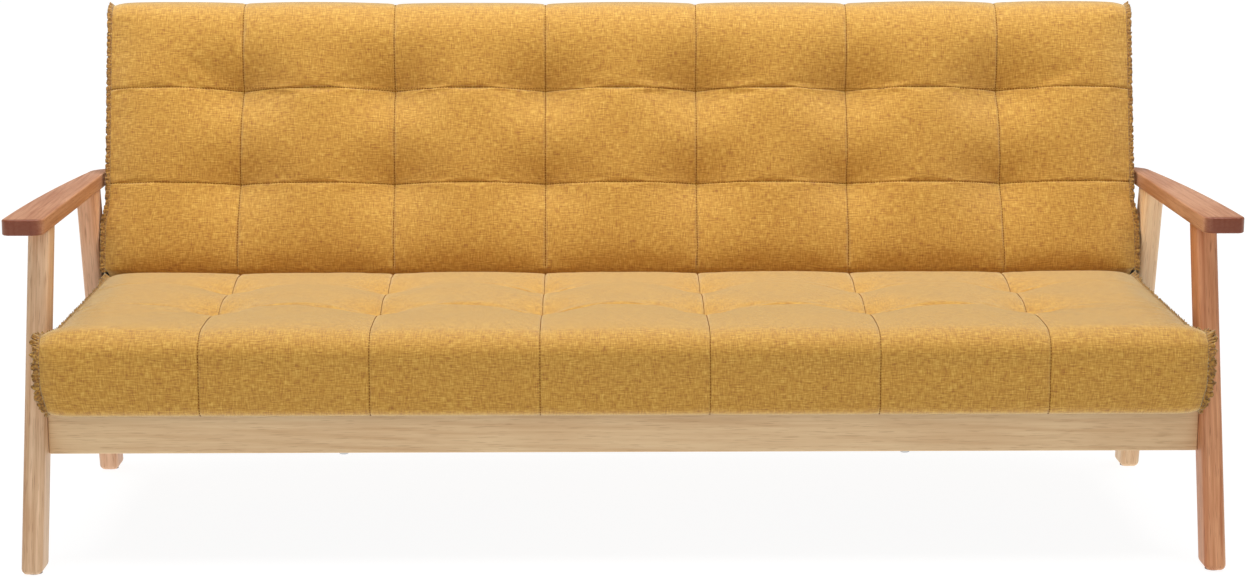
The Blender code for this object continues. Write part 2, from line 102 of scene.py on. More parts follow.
camera = bpy.data.objects.new("camera", bpy.data.cameras.new("camera"))
scene.collection.objects.link(camera)
camera.location = CAMERA_PLACE
camera.rotation_euler = (math.pi / 2 - math.radians(CAMERA_DOWN_DEG), 0, -math.radians(CAMERA_TURN_DEG))
camera.data.lens = LENS_MM
camera.data.sensor_width = 36
scene.camera = camera
for name, light in SOFT_BOXES.items():
    add_soft_box(name, **light)

world = bpy.data.worlds.new("studio")
world.use_nodes = True
world.node_tree.nodes["Background"].inputs["Color"].default_value = (1, 1, 1, 1)
world.node_tree.nodes["Background"].inputs["Strength"].default_value = WORLD_LIGHT
scene.world = world


# Shader patterns are written as sums and products of these
class Value:
    """A number or vector coming out of a shader node."""

    def __init__(self, paint, output):
        self.paint, self.output = paint, output

    def maths(self, operation, first, second):
        return self.paint.add("Math", {"operation": operation}, {0: first, 1: second})

    def __add__(self, other):
        return self.maths("ADD", self, other)

    def __radd__(self, other):
        return self.maths("ADD", other, self)

    def __sub__(self, other):
        return self.maths("SUBTRACT", self, other)

    def __rsub__(self, other):
        return self.maths("SUBTRACT", other, self)

    def __mul__(self, other):
        return self.maths("MULTIPLY", self, other)

    def __rmul__(self, other):
        return self.maths("MULTIPLY", other, self)

    def __pow__(self, other):
        return self.maths("POWER", self, other)

    def sine(self):
        return self.maths("SINE", self, 0.0)

    def step(self, low, high):
        """0 below low, 1 above high, and smooth between them."""
        sockets = {"Value": self, "From Min": low, "From Max": high}
        return self.paint.add("MapRange", {"interpolation_type": "SMOOTHSTEP"}, sockets)


class Paint:
    """One material, built up node by node."""

    def __init__(self, name, **constants):
        self.material = bpy.data.materials.new(name)
        self.material.use_nodes = True
        self.tree = self.material.node_tree
        self.shader = self.tree.nodes["Principled BSDF"]
        for key, value in constants.items():
            self.shader.inputs[key.replace("_", " ")].default_value = value

    def add(self, kind, settings, sockets, output=0):
        node = self.tree.nodes.new("ShaderNode" + kind)
        for key, value in settings.items():
            if key == "stops":
                self.set_stops(node.color_ramp, value)
            else:
                setattr(node, key, value)
        for key, value in sockets.items():
            self.feed(node.inputs[key], value)
        return Value(self, node.outputs[output])

    def set_stops(self, ramp, stops):
        while len(ramp.elements) < len(stops):
            ramp.elements.new(0.5)
        for element, (place, shade) in zip(ramp.elements, stops):
            element.position = place
            element.color = (*shade, 1.0)

    def feed(self, socket, value):
        if isinstance(value, Value):
            self.tree.links.new(value.output, socket)
        else:
            socket.default_value = value

    def scaled(self, vector, factors):
        return self.add("VectorMath", {"operation": "MULTIPLY"}, {0: vector, 1: factors})

    def noise(self, vector, factors, detail=2.0, roughness=0.5, distortion=0.0):
        """Noise whose features repeat that many times a metre along each axis."""
        sockets = {
            "Vector": self.scaled(vector, factors),
            "Scale": 1.0,
            "Detail": detail,
            "Roughness": roughness,
            "Distortion": distortion,
        }
        return self.add("TexNoise", {}, sockets)

    def mix(self, factor, first, second, blend="MIX"):
        first = first if isinstance(first, Value) else (*first, 1.0)
        second = second if isinstance(second, Value) else (*second, 1.0)
        settings = {"data_type": "RGBA", "blend_type": blend}
        return self.add("Mix", settings, {0: factor, 6: first, 7: second}, 2)

    def bump(self, height, distance, strength=1.0):
        sockets = {"Height": height, "Distance": distance, "Strength": strength}
        self.feed(self.shader.inputs["Normal"], self.add("Bump", {}, sockets))

    def finish(self, base_colour, roughness):
        self.feed(self.shader.inputs["Base Color"], base_colour)
        self.feed(self.shader.inputs["Roughness"], roughness)
        return self.material


def add_piece(name, shape, material, body, sharp_deg=45):
    """Turns a finished bmesh into a piece that moves with a body."""
    mesh = bpy.data.meshes.new(name)
    shape.to_mesh(mesh)
    shape.free()
    mesh.materials.append(material)
    mesh.shade_smooth()
    mesh.set_sharp_from_angle(angle=math.radians(sharp_deg))
    piece = bpy.data.objects.new(name, mesh)
    scene.collection.objects.link(piece)
    if body:
        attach(piece, body)
    return piece


def floor_material():
    """White acrylic lit from behind, brighter away from the sofa."""
    paint = Paint("lit_white_floor", Emission_Strength=1.0)
    place = paint.add("TexCoord", {}, {}, 3)
    reach = paint.add("VectorMath", {"operation": "LENGTH"}, {0: place}, 1)
    glow = paint.mix(reach.step(FLOOR_NEAR, FLOOR_FAR), GLOW_NEAR, GLOW_FAR)
    paint.feed(paint.shader.inputs["Emission Color"], glow)
    cloud = paint.noise(place, (0.8, 0.8, 0.8), 3.0)
    shade = paint.mix(cloud.step(0.3, 0.7), (0.13, 0.13, 0.13), (0.14, 0.14, 0.14))
    return paint.finish(shade, 0.8)


floor_shape = bmesh.new()
bmesh.ops.create_circle(floor_shape, cap_ends=True, segments=96, radius=FLOOR_RADIUS)
rim = [e for e in floor_shape.edges if e.is_boundary]
wall = bmesh.ops.extrude_edge_only(floor_shape, edges=rim)["geom"]
wall_top = [v for v in wall if isinstance(v, bmesh.types.BMVert)]
bmesh.ops.translate(floor_shape, vec=(0, 0, WALL_HEIGHT), verts=wall_top)
floor = add_piece("floor", floor_shape, floor_material(), None)
floor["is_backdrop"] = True


# ---------------------------------------------------------------- side frames
# Each side frame is two raked legs of pale rubberwood with rounded edges, sawn level on top, and a
# flat armrest of browner, stained wood that tapers to the back. Grain runs along every timber.
LEG_DEPTHS = {"front": 0.052, "rear": 0.058}
LEG_ROUND = 0.009
LEG_GRAIN = {"front": 0.7, "rear": 1.9}
TENON_GAP = 0.0004
ARM_TAPER = 0.029
ARM_CORNERS = {"inner": 0.018, "outer": 0.012, "rear": 0.040}
ARM_ROUND = 0.0045
STAIN_RINGS = (0.004, 0.012, 0.03, 0.97, 0.99)
STAIN_REACH = 0.010
LEG_TONES = {
    "front_left": (colour(234, 202, 166), colour(192, 149, 110), colour(140, 90, 58)),
    "rear_left": (colour(240, 196, 160), colour(210, 158, 121), colour(150, 98, 66)),
    "front_right": (colour(228, 170, 126), colour(178, 110, 69), colour(128, 68, 36)),
    "rear_right": (colour(252, 224, 182), colour(229, 187, 144), colour(166, 118, 80)),
}
BROWN_ARM = (colour(200, 150, 116), colour(152, 94, 61), colour(110, 40, 10))


def wood_material(name, tones, ring_pitch, ring_centre, roughness, contrast=1.0, end_dark=0.0):
    """Solid timber: growth rings round a far centre, fibres and pores along z of the grain."""
    light, middle, dark = tones
    paint = Paint(name, Coat_Roughness=0.3, Coat_Weight=0.05, Specular_IOR_Level=0.35)
    grain = paint.add("Attribute", {"attribute_name": "grain"}, {}, 1)
    wander = paint.noise(grain, (9, 9, 1.3), 3.0, 0.5)
    flame = paint.noise(grain, (26, 26, 3.2), 2.0, 0.5)
    along = paint.add("SeparateXYZ", {}, {0: grain}, 2)
    across = paint.add("SeparateXYZ", {}, {0: grain}, 0) - ring_centre[0] + along * 0.045
    deep = paint.add("SeparateXYZ", {}, {0: grain}, 1) - ring_centre[1] - along * 0.030
    reach = (across * across + deep * deep) ** 0.5 + wander * 0.036 + flame * 0.004
    turn = (reach * (2 * math.pi / ring_pitch)).sine() * 0.5 + 0.5
    ring = (turn**2.2) * flame.step(0.30, 0.72)
    fibre = paint.noise(grain, (900, 900, 16), 3.0, 0.6)
    streak = paint.noise(grain, (190, 190, 3.5), 3.0, 0.55)
    cloud = paint.noise(grain, (16, 16, 5.0), 3.0)
    pore = paint.noise(grain, (850, 850, 34), 1.0, 0.4).step(0.60, 0.72)
    depth = ring * 0.42 + fibre.step(0.35, 0.75) * 0.28 + streak.step(0.34, 0.72) * 0.42
    body = paint.mix(depth * contrast, light, middle)
    body = paint.mix(cloud.step(0.42, 0.70) * 0.35 * contrast, body, middle)
    body = paint.mix(cloud.step(0.50, 0.28) * 0.30 * contrast, body, light)
    body = paint.mix(pore * 0.34 * contrast, body, dark)
    if end_dark:
        # Sawn ends soak up the stain
        end = paint.add("Attribute", {"attribute_name": "sawn_end"}, {}, 2)
        body = paint.mix(end * end_dark, body, dark)
    paint.bump(fibre * 0.6 + streak * 0.4 - pore, 0.00022, 0.45)
    return paint.finish(body, fibre * 0.16 + (roughness - 0.04))


def mark_grain(shape, offset, along="z"):
    """Keeps each point's place in its own timber, z along the grain, for the wood to follow."""
    turns = {"z": (0, 1, 2), "x": (2, 1, 0), "y": (0, 2, 1)}[along]
    layer = shape.verts.layers.float_vector.new("grain")
    for vert in shape.verts:
        vert[layer] = Vector([vert.co[i] for i in turns]) + Vector(offset)


def round_edges(shape, edges, width, segments):
    """Rounds edges over, as a router does."""
    bmesh.ops.bevel(
        shape,
        geom=edges,
        offset=width,
        segments=segments,
        profile=0.5,
        affect="EDGES",
        material=-1,
        clamp_overlap=True,
    )


def rounded_block(size, width, segments):
    shape = bmesh.new()
    bmesh.ops.create_cube(shape, size=1.0)
    bmesh.ops.scale(shape, vec=size, verts=shape.verts)
    round_edges(shape, shape.edges[:], width, segments)
    return shape


def saw_level(shape, height):
    """Cuts everything above a height away and closes the cut."""
    geom = shape.verts[:] + shape.edges[:] + shape.faces[:]
    cut = bmesh.ops.bisect_plane(
        shape, geom=geom, plane_co=(0, 0, height), plane_no=(0, 0, 1), clear_outer=True
    )
    edges = [e for e in cut["geom_cut"] if isinstance(e, bmesh.types.BMEdge)]
    bmesh.ops.contextual_create(shape, geom=edges)


arm_low = {side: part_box(f"armrest_{side}")[0] for side in ("left", "right")}
arm_high = {side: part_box(f"armrest_{side}")[1] for side in ("left", "right")}
arm_underside = arm_low["left"].z

for index, side in enumerate(("left", "right")):
    for end, grain_place in LEG_GRAIN.items():
        low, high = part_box(f"{end}_leg_{side}")
        pad_low, pad_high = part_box(f"foot_pad_{end}_{side}")
        depth = LEG_DEPTHS[end]
        foot_y = (pad_low.y + pad_high.y) / 2
        lean = (high.y - low.y - depth) / (arm_underside - low.z)
        slope = lean if end == "front" else -lean
        tall = arm_underside - low.z + 3 * LEG_ROUND
        leg = rounded_block((high.x - low.x, depth, tall), LEG_ROUND, 6)
        mark_grain(leg, (0.3 * index, grain_place, 0.4 * index))
        for vert in leg.verts:
            vert.co.y += slope * vert.co.z
        middle = ((low.x + high.x) / 2, foot_y + slope * tall / 2, low.z + tall / 2)
        bmesh.ops.translate(leg, vec=middle, verts=leg.verts)
        saw_level(leg, arm_underside - TENON_GAP)
        finish = wood_material(
            f"{end}_leg_wood_{side}",
            LEG_TONES[f"{end}_{side}"],
            ring_pitch=0.013,
            ring_centre=(0.06, 0.09),
            roughness=0.44,
            contrast=1.5,
        )
        piece = add_piece(f"{end}_leg_{side}_turned", leg, finish, "frame", 30)
        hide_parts(f"{end}_leg_{side}")


def arc_points(centre, radius, start, end, steps):
    angles = [math.radians(start + (end - start) * i / steps) for i in range(steps + 1)]
    return [(centre[0] + radius * math.cos(a), centre[1] + radius * math.sin(a)) for a in angles]


def arm_outline(inner_x, outer_x, front_y, rear_y):
    """Seen from above: a straight inner edge, an outer edge that curves in towards the back."""
    inner_round, outer_round, rear_round = ARM_CORNERS.values()
    inner = arc_points((inner_x + inner_round, front_y + inner_round), inner_round, 180, 270, 8)
    outer = arc_points((outer_x - outer_round, front_y + outer_round), outer_round, 270, 360, 8)
    length = rear_y - rear_round - front_y
    shares = [step / 16 for step in range(2, 16)]
    side = [(outer_x - ARM_TAPER * share**2, front_y + length * share) for share in shares]
    centre = (outer_x - ARM_TAPER - rear_round, rear_y - rear_round)
    last = math.degrees(math.acos(min(1.0, (inner_x - centre[0] + 0.004) / rear_round)))
    return inner + outer + side + arc_points(centre, rear_round, 0, last, 14)


arm_wood = wood_material(
    "arm_wood",
    BROWN_ARM,
    ring_pitch=0.0085,
    ring_centre=(0.10, 0.03),
    roughness=0.36,
    contrast=1.15,
    end_dark=0.85,
)
for index, (side, sign) in enumerate((("left", -1), ("right", 1))):
    low, high = arm_low[side], arm_high[side]
    inner_x, outer_x = sorted((abs(low.x), abs(high.x)))
    arm = bmesh.new()
    outline = arm_outline(inner_x, outer_x, low.y, high.y)
    rim = [arm.verts.new((sign * x, y, low.z)) for x, y in outline]
    face = arm.faces.new(rim)
    raised = bmesh.ops.extrude_face_region(arm, geom=[face])
    moved = [v for v in raised["geom"] if isinstance(v, bmesh.types.BMVert)]
    bmesh.ops.translate(arm, vec=(0, 0, high.z - low.z), verts=moved)
    bmesh.ops.recalc_face_normals(arm, faces=arm.faces)
    flat_edges = [e for e in arm.edges if abs(e.verts[0].co.z - e.verts[1].co.z) < 1e-6]
    round_edges(arm, flat_edges, ARM_ROUND, 5)
    # A few rings across the board let the stain deepen towards the sawn ends
    for share in STAIN_RINGS:
        bmesh.ops.bisect_plane(
            arm,
            geom=arm.verts[:] + arm.edges[:] + arm.faces[:],
            plane_co=(0, low.y + (high.y - low.y) * share, 0),
            plane_no=(0, 1, 0),
        )
    mark_grain(arm, (3.1 + 0.4 * index, 0.2 - low.z, 0.3 * index), "y")
    ends = arm.verts.layers.float.new("sawn_end")
    for vert in arm.verts:
        inside = min(vert.co.y - low.y, high.y - vert.co.y)
        vert[ends] = max(0.0, 1.0 - inside / STAIN_REACH) ** 0.5
    piece = add_piece(f"armrest_{side}_board", arm, arm_wood, "frame", 30)
    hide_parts(f"armrest_{side}")


# ---------------------------------------------------------------- rails
# The base: a pale front rail between the front legs and plainer rails behind it, all planed boards
# with their edges just broken. They are bolted through the legs.
RAIL_ROUND = 0.0022
PALE_RAIL = (colour(230, 200, 156), colour(202, 162, 117), colour(158, 112, 74))
rail_wood = wood_material(
    "rail_wood",
    PALE_RAIL,
    ring_pitch=0.016,
    ring_centre=(0.05, 0.11),
    roughness=0.5,
    contrast=0.9,
)
RAILS = {
    "front_rail": "x",
    "rear_rail": "x",
    "cross_rail": "x",
    "centre_beam": "y",
    "side_rail_left": "y",
    "side_rail_right": "y",
}
for index, (name, along) in enumerate(RAILS.items()):
    low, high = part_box(name)
    rail = rounded_block(high - low, RAIL_ROUND, 4)
    mark_grain(rail, (0.9 + 0.5 * index, 0.31 * index, 0.7 * index), along)
    bmesh.ops.translate(rail, vec=(low + high) / 2, verts=rail.verts)
    piece = add_piece(f"{name}_board", rail, rail_wood, "frame", 30)
    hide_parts(name)


# ---------------------------------------------------------------- hardware
# Zinc-plated bolts and screws, black lacquered hinge plates with their riveted pins, and small
# nylon pads nailed under the feet. All of it keeps its own shape.
def metal_material(name, tone, metallic, roughness, scratch):
    paint = Paint(name)
    paint.shader.inputs["Metallic"].default_value = metallic
    place = paint.add("TexCoord", {}, {}, 3)
    smudge = paint.noise(place, (60, 60, 60), 3.0)
    fine = paint.noise(place, (900, 900, 900), 2.0)
    shade = paint.mix(smudge.step(0.35, 0.7) * 0.5, tone, tuple(c * scratch for c in tone))
    paint.bump(fine, 0.00008, 0.3)
    return paint.finish(shade, smudge * 0.3 + (roughness - 0.15))


def wood_of_cad(name):
    """Inner timber keeps its own shape, so its grain reads plain object coordinates."""
    paint = Paint(name)
    place = paint.add("TexCoord", {}, {}, 3)
    fibre = paint.noise(place, (40, 240, 240), 3.0, 0.6)
    cloud = paint.noise(place, (5, 20, 20), 2.0)
    shade = paint.mix(fibre.step(0.3, 0.7), colour(214, 186, 142), colour(182, 144, 98))
    shade = paint.mix(cloud.step(0.4, 0.7) * 0.4, shade, colour(168, 126, 82))
    paint.bump(fibre, 0.0002, 0.4)
    return paint.finish(shade, fibre * 0.1 + 0.6)


zinc = metal_material("zinc_plate", (0.56, 0.57, 0.58), 0.95, 0.36, 0.8)
black_steel = metal_material("black_lacquered_steel", (0.026, 0.024, 0.022), 0.0, 0.50, 1.6)
nylon = metal_material("nylon_pad", (0.09, 0.07, 0.06), 0.0, 0.6, 0.8)
plain_wood = wood_of_cad("inner_frame_wood")
FINISHES = {
    "bolt": zinc,
    "screw": zinc,
    "hinge_plate": black_steel,
    "hinge_pin": black_steel,
    "foot_pad": nylon,
    "_frame_": plain_wood,
    "slat": plain_wood,
}
for name, node in nodes.items():
    for word, finish in FINISHES.items():
        if word in name and not node.hide_render:
            node.data.materials.clear()
            node.data.materials.append(finish)
            break


# ---------------------------------------------------------------- cushions
# Seat and backrest are alike: a sewn linen-look cover over foam on a slatted frame. One long panel
# wraps the cushion in seven columns, stitched through in two rows, and pulled down hard where the
# lines of stitching cross.
HINGE = Vector(frame["joints"][0]["pos_m"])
LEAN = math.radians(15)
MITRE = math.radians(41.5)
SURFACE = 0.032
END_GAP = 0.003
CREASE_ROUND = 0.009
HIDDEN_ROUND = 0.004
TUFT_TIE = 0.004
SEAMS_X = (-0.625, -0.375, -0.125, 0.125, 0.375, 0.625)


def seat_place(x, u, v):
    """Seat: u runs forward from the hinge, v is up."""
    x, u, v = np.broadcast_arrays(x, u, v)
    return np.stack([x, HINGE.y - u, HINGE.z + v], -1)


def back_place(x, u, v):
    """Backrest: u runs up it from the hinge, v comes out of its front."""
    x, u, v = np.broadcast_arrays(x, u, v)
    y = HINGE.y + u * math.sin(LEAN) - v * math.cos(LEAN)
    z = HINGE.z + u * math.cos(LEAN) + v * math.sin(LEAN)
    return np.stack([x, y, z], -1)


def rounded_line(corners, pace=0.001):
    """A line of points (u, v) round corners (u, v, radius)."""
    line = []
    for i, (u, v, radius) in enumerate(corners):
        here = np.array((u, v))
        if radius == 0:
            line.append(here)
            continue
        before = corners[i - 1][:2] - here
        after = corners[(i + 1) % len(corners)][:2] - here
        before, after = before / np.linalg.norm(before), after / np.linalg.norm(after)
        half = math.acos(float(before @ after)) / 2
        middle = (before + after) / np.linalg.norm(before + after)
        centre = here + middle * radius / math.sin(half)
        cut = radius / math.tan(half)
        first, last = here + before * cut - centre, here + after * cut - centre
        turn = math.pi - 2 * half
        steps = max(3, int(radius * turn / pace))
        for share in np.linspace(0, 1, steps + 1):
            a, b = math.sin((1 - share) * turn), math.sin(share * turn)
            line.append(centre + (first * a + last * b) / math.sin(turn))
    return np.array(line)


def smooth(value, low, high):
    t = np.clip((value - low) / (high - low), 0, 1)
    return t * t * (3 - 2 * t)


def bump_at(marks, centre, reach):
    """1 at a centre, falling smoothly to 0 on both sides of it."""
    return np.exp(-(((marks - centre) / reach) ** 2))


def cell_share(value, edges):
    """Where a value lies in its cell: -1 at one edge, 0 in the middle, 1 at the other."""
    edges = np.asarray(edges)
    cell = np.clip(np.searchsorted(edges, value, side="right") - 1, 0, len(edges) - 2)
    low, high = edges[cell], edges[cell + 1]
    return np.clip(2 * (value - low) / (high - low) - 1, -1, 1)


def crowd(count, start, end):
    """Shares from 0 towards 1, closer together at the ends that are asked for."""
    t = np.arange(count) / count
    if start and end:
        return t - 0.75 * np.sin(2 * np.pi * t) / (2 * np.pi)
    if start:
        return t**1.6
    return 1 - (1 - t) ** 1.6 if end else t


@dataclass
class Cushion:
    """The sizes and the sewing plan of one cushion; s is the distance along its end outline."""

    name: str
    body: str
    place: Callable
    reach: float  # from the hinge to the far edge
    below: float  # from the hinge down to the open side
    drop: float  # how much the face falls towards the far edge
    far_round: float
    low_round: float
    rows: tuple  # how far from the hinge each row of stitching runs
    half_end: float
    spare_length: Callable  # how much further out the ends reach, at (u, v)
    crown: float  # how far the middle of a cell stands up
    crown_end: str  # the cells end at the far edge's face or at its foot
    squareness: float
    row_share: float  # how much of the crown is lost at a row
    row_fade: float  # how much of a row's groove is lost between two tufts
    bows: tuple  # how far each row bows between two tufts
    drift: float  # how far the outermost seams lean out towards the crease
    tuft_depths: tuple  # one for each row
    tuft_reach: tuple  # across and along
    wrinkle: float
    end_round: float
    cap: float  # the furthest that the cloth may move as it is blown up

    def __post_init__(self):
        crease_u = SURFACE * math.tan(MITRE) + 0.0005
        line = rounded_line(
            [
                (self.reach / 2, -self.below, 0),
                (END_GAP, -self.below, HIDDEN_ROUND),
                (END_GAP, 0.0, HIDDEN_ROUND),
                (crease_u, SURFACE, CREASE_ROUND),
                (self.reach, SURFACE - self.drop, self.far_round),
                (self.reach, -self.below, self.low_round),
            ]
        )
        self.centre = (line.min(0) + line.max(0)) / 2
        self.ring = np.vstack([line, line[:1]])
        steps = np.linalg.norm(np.diff(self.ring, axis=0), axis=1)
        self.marks = np.concatenate([[0], np.cumsum(steps)])
        self.length = self.marks[-1]
        self.s_low = self.nearest(END_GAP, -self.below)
        self.s_crease = self.nearest(crease_u, SURFACE)
        self.s_rows = [self.nearest(u, SURFACE - self.drop * u / self.reach) for u in self.rows]
        self.s_edge = self.nearest(self.reach - self.far_round, SURFACE - self.drop)
        self.s_face = self.nearest(self.reach, SURFACE - self.drop - self.far_round)
        self.s_foot = self.nearest(self.reach, -self.below + self.low_round)
        self.s_under = self.nearest(self.reach - self.low_round, -self.below)
        self.s_crown_end = {"face": self.s_face, "foot": self.s_foot}[self.crown_end]
        self.edges_x = [-self.half_end, *SEAMS_X, self.half_end]

    def at(self, s):
        s = np.mod(s, self.length)
        return np.stack([np.interp(s, self.marks, self.ring[:, k]) for k in (0, 1)], -1)

    def normal(self, s):
        along = self.at(s + 0.004) - self.at(s - 0.004)
        along /= np.linalg.norm(along, axis=-1, keepdims=True)
        return np.stack([-along[..., 1], along[..., 0]], -1)

    def nearest(self, u, v):
        marks = np.linspace(0, self.length, 4000, endpoint=False)
        gaps = np.linalg.norm(self.at(marks) - (u, v), axis=1)
        return float(marks[int(np.argmin(gaps))])

    def stations(self):
        """Distances along the outline for the mesh's rows, close together at the seams."""
        row_1, row_2 = self.s_rows
        spans = (
            (0, self.s_low, 8, False, False),
            (self.s_low, self.s_crease, 12, False, False),
            (self.s_crease, row_1, 18, True, True),
            (row_1, row_2, 26, True, True),
            (row_2, self.s_edge, 20, True, False),
            (self.s_edge, self.s_face, 9, False, False),
            (self.s_face, self.s_foot, 11, False, False),
            (self.s_foot, self.s_under, 5, False, False),
            (self.s_under, self.length, 9, False, False),
        )
        marks = [a + (b - a) * crowd(n, start, end) for a, b, n, start, end in spans]
        return np.concatenate(marks + [[self.length]])

    def columns(self):
        spans = zip(self.edges_x, self.edges_x[1:])
        marks = [a + (b - a) * crowd(30, True, True) for a, b in spans]
        return np.concatenate(marks + [[self.half_end]])

    def tuft_distance(self, x, s):
        across = np.min(np.abs(x[:, None] - np.array(SEAMS_X)), axis=1)
        along = np.min(np.abs(s[:, None] - np.array(self.s_rows)), axis=1)
        return np.hypot(across, along)

    def sewn_through(self, s):
        """1 where the lines of stitching run: from the crease, over the far edge, to the foot."""
        start = smooth(s, self.s_crease - 0.020, self.s_crease - 0.012)
        return start * (1 - smooth(s, self.s_under - 0.004, self.s_under + 0.004))

    def shown(self, s, margin=0.03):
        """1 on the quilted face, 0 in the crease, underneath and behind."""
        return smooth(s, self.s_crease - 0.006, self.s_crease + margin) * (
            1 - smooth(s, self.s_foot - margin, self.s_foot + 0.004)
        )

    def crowns(self, x, s):
        """The cells stand up between their seams, less so at the rows and over the far edge."""
        a = cell_share(x, self.edges_x)
        b = cell_share(s, [self.s_crease - 0.012, *self.s_rows, self.s_crown_end])
        crown = self.crown * (1 - np.abs(a) ** self.squareness)
        crown *= 1 - self.row_share * np.abs(b) ** 2.6
        return crown * (1 - 0.5 * smooth(s, self.s_edge - 0.03, self.s_face))

    def tufts(self, x, s):
        """Each tuft pulls a hollow in, and slack cloth gathers into short creases beside it."""
        dip = np.zeros_like(x)
        for row, depth in zip(self.s_rows, self.tuft_depths):
            for seam in SEAMS_X:
                across, along = (x - seam) / self.tuft_reach[0], (s - row) / self.tuft_reach[1]
                dip += depth * np.exp(-(np.hypot(across, along) ** 1.3))
                crease = bump_at(np.abs(x - seam), 0.030, 0.022) * bump_at(s, row, 0.016)
                wave = np.sin((s - row) * 380 + 60 * np.abs(x - seam) + 9 * seam)
                dip += self.wrinkle * crease * wave
        return dip

    def gathers(self, x, s):
        """The end seam gathers the cloth beside it into fine level wrinkles."""
        row = self.s_rows[-1]
        gather = bump_at(np.abs(x), self.half_end, 0.060) * smooth(s, row, row + 0.05)
        return self.wrinkle * gather * np.sin(s * 260 + 14 * np.abs(x) + 3 * np.sign(x))

    def rise(self, x, s):
        """How far the cloth stands above the plain outline: crowned cells, tufts pulled in."""
        a = cell_share(x, self.edges_x)
        dip = self.tufts(x, s) + self.gathers(x, s)
        wander = 0.0012 * np.sin(x * 7.1 + s * 23) * np.sin(s * 31 - x * 4.3)
        rounding = self.end_round * np.exp(-(((self.half_end - np.abs(x)) / 0.011) ** 1.3))
        return (self.crowns(x, s) - dip + wander * (1 - a * a)) * self.shown(s) - rounding

    def bowed(self, x, s):
        """Rows of stitching bow between the tufts, because the cloth there has further to go."""
        a = cell_share(x, self.edges_x)
        bow = np.zeros_like(s)
        for row, size in zip(self.s_rows, self.bows):
            bow += size * (1 - a * a) * bump_at(s, row, 0.05)
        return s + bow

    def widen(self, x, u, v):
        """Spreads the end columns where the cushion is longer than its plain length."""
        return x + np.sign(x) * self.spare_length(u, v) * smooth(np.abs(x), 0.64, 0.84)


def sew_cover(cushion):
    """The cover as one closed mesh: a grid wrapped round the outline, with its ends closed."""
    xs, ss = cushion.columns(), cushion.stations()
    shape = bmesh.new()
    bmesh.ops.create_grid(shape, x_segments=len(xs) - 1, y_segments=len(ss) - 1, size=0.5)
    lay = shape.verts.layers.float_vector.new("lay")
    held = shape.verts.layers.float.new("held")
    grid = np.array([v.co for v in shape.verts])
    x = xs[np.rint((grid[:, 0] + 0.5) * (len(xs) - 1)).astype(int)]
    s = ss[np.rint((grid[:, 1] + 0.5) * (len(ss) - 1)).astype(int)]
    bowed = cushion.bowed(x, s)
    uv = cushion.at(bowed) + cushion.normal(bowed) * cushion.rise(x, s)[:, None]
    drift = cushion.drift * np.sign(x) * smooth(np.abs(x), 0.5, 0.7)
    drift *= 1 - smooth(np.abs(x), 0.7, 0.84)
    leaned = x + drift * (1 - smooth(s, cushion.s_crease, cushion.s_edge))
    points = cushion.place(cushion.widen(leaned, *uv.T), uv[:, 0], uv[:, 1])
    sewn = cushion.tuft_distance(x, s) < TUFT_TIE
    sewn |= (s < cushion.s_crease) | (s > cushion.s_foot)
    sewn |= np.abs(x) > cushion.half_end - 1e-5
    for vert, point, a, b, pin in zip(shape.verts, points, x, s, sewn):
        vert.co = point
        vert[lay] = (a, b, 0)
        vert[held] = float(pin)
    bmesh.ops.remove_doubles(shape, verts=shape.verts, dist=1e-6)
    close_ends(cushion, shape, lay, held)
    bmesh.ops.recalc_face_normals(shape, faces=shape.faces)
    return shape


END_LAY_SHIFT = 3  # keeps the cloth places of the end panels apart from the long panel's
END_RINGS = ((0.975, 0.0010), (0.92, 0.0012), (0.80, 0.0010), (0.60, 0.0006), (0.30, 0.0002))


def close_ends(cushion, shape, lay, held):
    """End panels: rings that shrink from the edge seam to the middle, slightly domed."""
    centre = Vector(cushion.place(0.0, *cushion.centre).tolist())
    for sign in (-1, 1):
        loop = [e for e in shape.edges if e.is_boundary and e.verts[0].co.x * sign > 0]
        last = 1.0
        for share, puff in END_RINGS:
            made = bmesh.ops.extrude_edge_only(shape, edges=loop)["geom"]
            verts = [v for v in made if isinstance(v, bmesh.types.BMVert)]
            loop = [e for e in made if isinstance(e, bmesh.types.BMEdge) and e.is_boundary]
            for vert in verts:
                vert.co.y = centre.y + (vert.co.y - centre.y) * share / last
                vert.co.z = centre.z + (vert.co.z - centre.z) * share / last
                vert.co.x += sign * puff
                vert[lay] = (vert.co.y + END_LAY_SHIFT, vert.co.z, 0)
                vert[held] = 1.0
            last = share
        bmesh.ops.contextual_create(shape, geom=loop)


def read_points(mesh):
    """Places, normals and cloth places of a mesh's points."""
    columns = []
    for read in (
        lambda out: mesh.vertices.foreach_get("co", out),
        lambda out: mesh.vertices.foreach_get("normal", out),
        lambda out: mesh.attributes["lay"].data.foreach_get("vector", out),
    ):
        values = np.zeros(len(mesh.vertices) * 3)
        read(values)
        columns.append(values.reshape(-1, 3))
    return columns


CLOTH = {
    "quality": 4,
    "mass": 0.25,
    "tension_stiffness": 18,
    "compression_stiffness": 12,
    "shear_stiffness": 6,
    "bending_stiffness": 1.2,
    "vertex_group_mass": "sewn",
    "use_pressure": True,
    "uniform_pressure_force": 4.0,
    "shrink_min": -0.006,
}
CLOTH_STEPS = 20
SIDEWAYS_SHARE = 0.3


